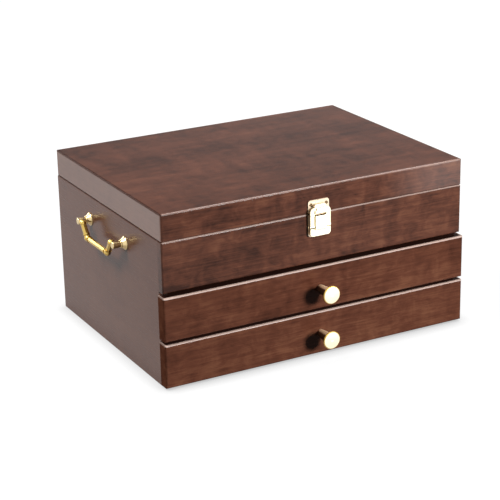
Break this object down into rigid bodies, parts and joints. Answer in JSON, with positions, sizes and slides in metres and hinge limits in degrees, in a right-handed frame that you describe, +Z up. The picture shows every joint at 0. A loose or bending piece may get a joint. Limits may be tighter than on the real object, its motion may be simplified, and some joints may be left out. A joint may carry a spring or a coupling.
{
  "type": "silverware chest",
  "caption": "Wooden flatware chest: hinged latched lid over a racked tray, stacked knob-pull drawers below, brass bail handles on the sides.",
  "frame": {"origin": "centre of the case's footprint on the surface that it stands on", "axes": "+X to the chest's right seen from the front, -Y out of the front with the drawers, +Z up"},
  "size_m": [0.4082, 0.3138, 0.1956],
  "materials": {
    "outer_wood": "dark walnut stain under satin lacquer",
    "inner_wood": "thin stain, matt",
    "brass": "polished pale brass plate",
    "felt": "anti-tarnish felt"
  },
  "bodies": {
    "case": {"left_side_panel": "outer_wood", "right_side_panel": "outer_wood", "back_panel": "outer_wood", "upper_front_panel": "outer_wood", "tray_floor": "inner_wood", "drawer_shelf": "inner_wood", "base_panel": "inner_wood", "drawer_stops": "inner_wood", "tray_liner": "felt", "front_rack": "inner_wood", "rear_rack": "inner_wood", "hinge_case_leaves": "brass", "hinge_pins": "brass", "hinge_case_screws": "brass", "latch_base": "brass", "latch_base_screws": "brass", "lever_pin": "brass", "left_handle_rosettes": "brass", "left_handle_posts": "brass", "left_handle_screws": "brass", "right_handle_rosettes": "brass", "right_handle_posts": "brass", "right_handle_screws": "brass"},
    "lid": {"lid_top": "outer_wood", "lid_front_rail": "outer_wood", "lid_back_rail": "outer_wood", "lid_left_rail": "outer_wood", "lid_right_rail": "outer_wood", "lid_liner": "felt", "hinge_lid_leaves": "brass", "hinge_lid_screws": "brass", "catch_plate": "brass", "catch_screws": "brass"},
    "left_bail": {"left_bail": "brass"},
    "right_bail": {"right_bail": "brass"},
    "latch_lever": {"latch_lever": "brass", "loop_pin": "brass"},
    "latch_loop": {"latch_loop": "brass"},
    "upper_drawer": {"upper_drawer_front": "outer_wood", "upper_drawer_left_side": "inner_wood", "upper_drawer_right_side": "inner_wood", "upper_drawer_back": "inner_wood", "upper_drawer_bottom": "inner_wood", "upper_drawer_liner": "felt", "upper_drawer_left_divider": "inner_wood", "upper_drawer_right_divider": "inner_wood", "upper_drawer_knob": "brass", "upper_drawer_knob_screw": "brass"},
    "lower_drawer": {"lower_drawer_front": "outer_wood", "lower_drawer_left_side": "inner_wood", "lower_drawer_right_side": "inner_wood", "lower_drawer_back": "inner_wood", "lower_drawer_bottom": "inner_wood", "lower_drawer_liner": "felt", "lower_drawer_left_divider": "inner_wood", "lower_drawer_right_divider": "inner_wood", "lower_drawer_knob": "brass", "lower_drawer_knob_screw": "brass"}
  },
  "joints": [
    {"name": "lid_hinge", "type": "hinge", "parent": "case", "child": "lid", "pos_m": [0, 0.1417, 0.1652], "axis": [-1, 0, 0], "range_deg": [0, 100]},
    {"name": "upper_drawer_slide", "type": "slide", "parent": "case", "child": "upper_drawer", "axis": [0, -1, 0], "range_m": [0, 0.2]},
    {"name": "lower_drawer_slide", "type": "slide", "parent": "case", "child": "lower_drawer", "axis": [0, -1, 0], "range_m": [0, 0.2]},
    {"name": "left_bail_swing", "type": "hinge", "parent": "case", "child": "left_bail", "pos_m": [-0.20025, 0, 0.137], "axis": [0, 1, 0], "range_deg": [-25, 150]},
    {"name": "right_bail_swing", "type": "hinge", "parent": "case", "child": "right_bail", "pos_m": [0.20025, 0, 0.137], "axis": [0, -1, 0], "range_deg": [-25, 150]},
    {"name": "latch_lever_pivot", "type": "hinge", "parent": "case", "child": "latch_lever", "pos_m": [0, -0.14385, 0.1622], "axis": [-1, 0, 0], "range_deg": [0, 90]},
    {"name": "latch_loop_pivot", "type": "hinge", "parent": "latch_lever", "child": "latch_loop", "pos_m": [0, -0.14355, 0.1512], "axis": [-1, 0, 0], "range_deg": [-99, 0]}
  ],
  "couplings": [
    {"joint": "latch_loop_pivot", "follows": "latch_lever_pivot", "ratio": -1.1}
  ]
}
